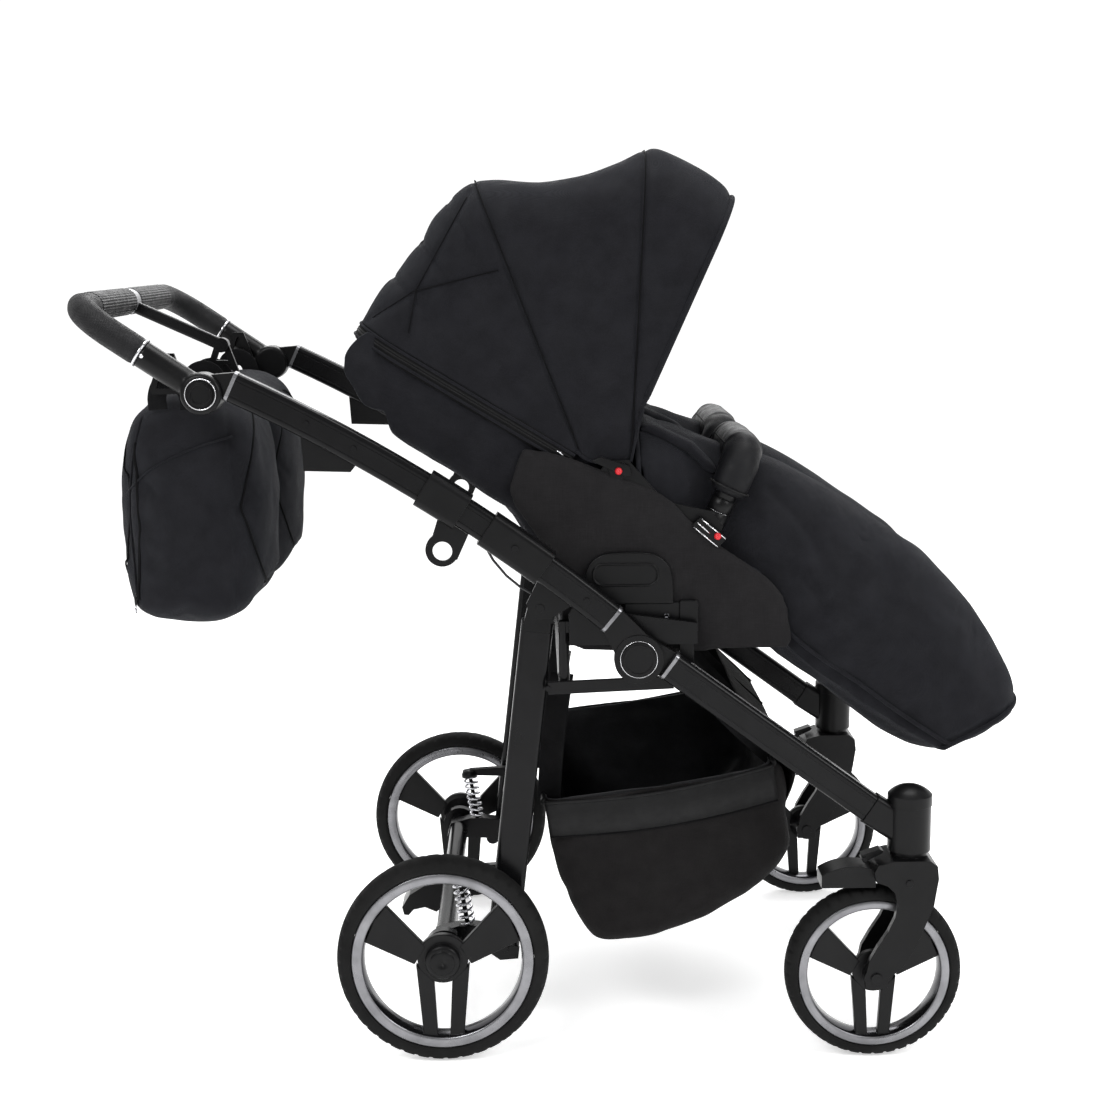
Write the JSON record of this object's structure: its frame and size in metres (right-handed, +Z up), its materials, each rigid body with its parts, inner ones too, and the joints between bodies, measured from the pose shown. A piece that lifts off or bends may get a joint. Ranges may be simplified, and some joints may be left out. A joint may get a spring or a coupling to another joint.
{
  "type": "twin baby stroller",
  "caption": "Folding side-by-side pushchair with reclining seats, canopies, leg covers, swivel casters, tilting handle, basket and hanging bags.",
  "frame": {"origin": "on the floor under the middle of the stroller's box", "axes": "+X forward, +Y to the stroller's left, +Z up"},
  "size_m": [1.3306, 0.75, 1.2696],
  "materials": {
    "frame_metal": "semi-gloss black anodised aluminium with long grooves",
    "silver": "polished silver rings",
    "frame_plastic": "fine-grained black moulded nylon",
    "grey_plastic": "satin grey moulded ring",
    "red_plastic": "glossy red button",
    "soft_fabric": "black softshell, slightly cool, fine weave with soft sheen",
    "side_fabric": "black linen-look woven panel",
    "basket_fabric": "black coated nylon",
    "grip_leather": "black embossed leatherette",
    "wheel_plastic": "satin black wheel star with a grey metallic ring",
    "tyre_rubber": "black foam-filled tyre",
    "spring_steel": "polished coil springs",
    "cable_sheath": "black cable sheath"
  },
  "bodies": {
    "frame": {"upper_tubes": "frame_metal", "tube_ferrules": "silver", "tube_end_fittings": "frame_plastic", "leg_collars": "frame_plastic", "seat_chassis": "frame_metal", "seat_adapters": "frame_plastic", "frame_bolts": "frame_metal", "fold_caps": "frame_plastic", "release_cables": "cable_sheath", "basket": "basket_fabric", "basket_straps": "basket_fabric"},
    "handle": {"handle_tube": "frame_metal", "handle_grip": "grip_leather", "handle_sleeves": "frame_plastic", "handle_strut": "frame_metal", "bag_hooks": "frame_plastic", "handle_rings": "grey_plastic"},
    "tilt_button_right": {"tilt_button_right": "frame_plastic"},
    "tilt_button_left": {"tilt_button_left": "frame_plastic"},
    "bag_right": {"bag_right": "soft_fabric"},
    "bag_left": {"bag_left": "soft_fabric"},
    "release_clips": {"release_clips": "frame_plastic"},
    "lower_frame": {"lower_tubes": "frame_metal", "lower_knuckles": "frame_plastic", "caster_housings": "frame_plastic", "lower_ferrules": "silver"},
    "rear_legs": {"rear_legs": "frame_metal", "leg_fittings": "frame_plastic", "rear_springs": "spring_steel"},
    "brace_links": {"brace_links": "frame_metal"},
    "rear_axle": {"rear_axle": "frame_metal"},
    "brake_pedal": {"brake_pedal": "frame_plastic"},
    "fork_right": {"fork_right": "frame_plastic"},
    "swivel_lock_right": {"swivel_lock_right": "frame_plastic"},
    "front_wheel_right": {"front_wheel_right": "wheel_plastic", "front_tyre_right": "tyre_rubber"},
    "rear_wheel_right": {"rear_wheel_right": "wheel_plastic", "rear_tyre_right": "tyre_rubber"},
    "seat_right": {"seat_frame_right": "frame_plastic", "seat_shell_right": "side_fabric", "canopy_rear_right": "soft_fabric"},
    "canopy_front_right": {"canopy_front_right": "soft_fabric"},
    "leg_cover_right": {"leg_cover_right": "soft_fabric"},
    "bumper_right": {"bumper_right": "grip_leather"},
    "bumper_button_right": {"bumper_button_right": "red_plastic"},
    "canopy_button_right": {"canopy_button_right": "red_plastic"},
    "fork_left": {"fork_left": "frame_plastic"},
    "swivel_lock_left": {"swivel_lock_left": "frame_plastic"},
    "front_wheel_left": {"front_wheel_left": "wheel_plastic", "front_tyre_left": "tyre_rubber"},
    "rear_wheel_left": {"rear_wheel_left": "wheel_plastic", "rear_tyre_left": "tyre_rubber"},
    "seat_left": {"seat_frame_left": "frame_plastic", "seat_shell_left": "side_fabric", "canopy_rear_left": "soft_fabric"},
    "canopy_front_left": {"canopy_front_left": "soft_fabric"},
    "leg_cover_left": {"leg_cover_left": "soft_fabric"},
    "bumper_left": {"bumper_left": "grip_leather"},
    "bumper_button_left": {"bumper_button_left": "red_plastic"},
    "canopy_button_left": {"canopy_button_left": "red_plastic"}
  },
  "joints": [
    {"name": "frame_fold", "type": "hinge", "parent": "frame", "child": "lower_frame", "pos_m": [0.107, 0, 0.582], "axis": [0, 1, 0], "range_deg": [0, 72]},
    {"name": "leg_fold", "type": "hinge", "parent": "frame", "child": "rear_legs", "pos_m": [-0.028, 0, 0.649], "axis": [0, 1, 0], "range_deg": [0, 38.16]},
    {"name": "brace_fold", "type": "hinge", "parent": "rear_legs", "child": "brace_links", "pos_m": [-0.018, 0, 0.535], "axis": [0, 1, 0], "range_deg": [-25.2, 0]},
    {"name": "rear_suspension", "type": "hinge", "parent": "rear_legs", "child": "rear_axle", "pos_m": [-0.084, 0, 0.15], "axis": [0, 1, 0], "range_deg": [0, 9], "stiffness_Nm_per_rad": 90, "springref_deg": -17.19, "deforming": ["rear_springs"]},
    {"name": "brake_pedal_press", "type": "hinge", "parent": "rear_axle", "child": "brake_pedal", "pos_m": [-0.17, 0, 0.15], "axis": [0, -1, 0], "range_deg": [0, 12], "stiffness_Nm_per_rad": 3, "springref_deg": -8.59},
    {"name": "handle_tilt", "type": "hinge", "parent": "frame", "child": "handle", "pos_m": [-0.477, 0, 0.951], "axis": [0, 1, 0], "range_deg": [-25, 30]},
    {"name": "fold_release_pull", "type": "slide", "parent": "frame", "child": "release_clips", "axis": [-0.8387, 0, 0.5446], "range_m": [0, 0.008], "stiffness_N_per_m": 2000, "springref_m": -0.004},
    {"name": "tilt_press_right", "type": "slide", "parent": "handle", "child": "tilt_button_right", "axis": [0, 1, 0], "range_m": [0, 0.002], "stiffness_N_per_m": 1500, "springref_m": -0.002},
    {"name": "bag_swing_right", "type": "hinge", "parent": "handle", "child": "bag_right", "pos_m": [-0.525, 0, 0.962], "axis": [0, 1, 0], "range_deg": [-30, 25]},
    {"name": "caster_swivel_right", "type": "hinge", "parent": "lower_frame", "child": "fork_right", "pos_m": [0.487, -0.335, 0.3], "axis": [0, 0, 1], "continuous": true},
    {"name": "swivel_lock_flip_right", "type": "hinge", "parent": "fork_right", "child": "swivel_lock_right", "pos_m": [0.424, -0.335, 0.29], "axis": [0, -1, 0], "range_deg": [0, 10]},
    {"name": "front_wheel_spin_right", "type": "hinge", "parent": "fork_right", "child": "front_wheel_right", "pos_m": [0.439, -0.335, 0.125], "axis": [0, 1, 0], "continuous": true},
    {"name": "rear_wheel_spin_right", "type": "hinge", "parent": "rear_axle", "child": "rear_wheel_right", "pos_m": [-0.17, -0.332, 0.15], "axis": [0, 1, 0], "continuous": true},
    {"name": "seat_tilt_right", "type": "hinge", "parent": "frame", "child": "seat_right", "pos_m": [0.097, -0.157, 0.677], "axis": [0, -1, 0], "range_deg": [-10, 20]},
    {"name": "canopy_fold_right", "type": "hinge", "parent": "seat_right", "child": "canopy_front_right", "pos_m": [0.082, -0.157, 0.836], "axis": [0, -1, 0], "range_deg": [0, 30]},
    {"name": "leg_rest_tilt_right", "type": "hinge", "parent": "seat_right", "child": "leg_cover_right", "pos_m": [0.33, -0.157, 0.69], "axis": [0, 1, 0], "range_deg": [-8, 15]},
    {"name": "bumper_lift_right", "type": "slide", "parent": "seat_right", "child": "bumper_right", "axis": [0.4129, 0, 0.9108], "range_m": [0, 0.025]},
    {"name": "bumper_press_right", "type": "slide", "parent": "seat_right", "child": "bumper_button_right", "axis": [0, 1, 0], "range_m": [0, 0.002], "stiffness_N_per_m": 1500, "springref_m": -0.002},
    {"name": "canopy_press_right", "type": "slide", "parent": "seat_right", "child": "canopy_button_right", "axis": [0, 1, 0], "range_m": [0, 0.002], "stiffness_N_per_m": 1500, "springref_m": -0.002},
    {"name": "tilt_press_left", "type": "slide", "parent": "handle", "child": "tilt_button_left", "axis": [0, -1, 0], "range_m": [0, 0.002], "stiffness_N_per_m": 1500, "springref_m": -0.002},
    {"name": "bag_swing_left", "type": "hinge", "parent": "handle", "child": "bag_left", "pos_m": [-0.525, 0, 0.962], "axis": [0, 1, 0], "range_deg": [-30, 25]},
    {"name": "caster_swivel_left", "type": "hinge", "parent": "lower_frame", "child": "fork_left", "pos_m": [0.487, 0.335, 0.3], "axis": [0, 0, 1], "continuous": true},
    {"name": "swivel_lock_flip_left", "type": "hinge", "parent": "fork_left", "child": "swivel_lock_left", "pos_m": [0.424, 0.335, 0.29], "axis": [0, -1, 0], "range_deg": [0, 10]},
    {"name": "front_wheel_spin_left", "type": "hinge", "parent": "fork_left", "child": "front_wheel_left", "pos_m": [0.439, 0.335, 0.125], "axis": [0, 1, 0], "continuous": true},
    {"name": "rear_wheel_spin_left", "type": "hinge", "parent": "rear_axle", "child": "rear_wheel_left", "pos_m": [-0.17, 0.332, 0.15], "axis": [0, 1, 0], "continuous": true},
    {"name": "seat_tilt_left", "type": "hinge", "parent": "frame", "child": "seat_left", "pos_m": [0.097, 0.157, 0.677], "axis": [0, -1, 0], "range_deg": [-10, 20]},
    {"name": "canopy_fold_left", "type": "hinge", "parent": "seat_left", "child": "canopy_front_left", "pos_m": [0.082, 0.157, 0.836], "axis": [0, -1, 0], "range_deg": [0, 30]},
    {"name": "leg_rest_tilt_left", "type": "hinge", "parent": "seat_left", "child": "leg_cover_left", "pos_m": [0.33, 0.157, 0.69], "axis": [0, 1, 0], "range_deg": [-8, 15]},
    {"name": "bumper_lift_left", "type": "slide", "parent": "seat_left", "child": "bumper_left", "axis": [0.4129, 0, 0.9108], "range_m": [0, 0.025]},
    {"name": "bumper_press_left", "type": "slide", "parent": "seat_left", "child": "bumper_button_left", "axis": [0, -1, 0], "range_m": [0, 0.002], "stiffness_N_per_m": 1500, "springref_m": -0.002},
    {"name": "canopy_press_left", "type": "slide", "parent": "seat_left", "child": "canopy_button_left", "axis": [0, -1, 0], "range_m": [0, 0.002], "stiffness_N_per_m": 1500, "springref_m": -0.002}
  ],
  "couplings": [
    {"joint": "leg_fold", "follows": "frame_fold", "ratio": 0.53},
    {"joint": "brace_fold", "follows": "frame_fold", "ratio": -0.35},
    {"joint": "bag_swing_right", "follows": "handle_tilt", "ratio": -1},
    {"joint": "bag_swing_left", "follows": "handle_tilt", "ratio": -1}
  ]
}
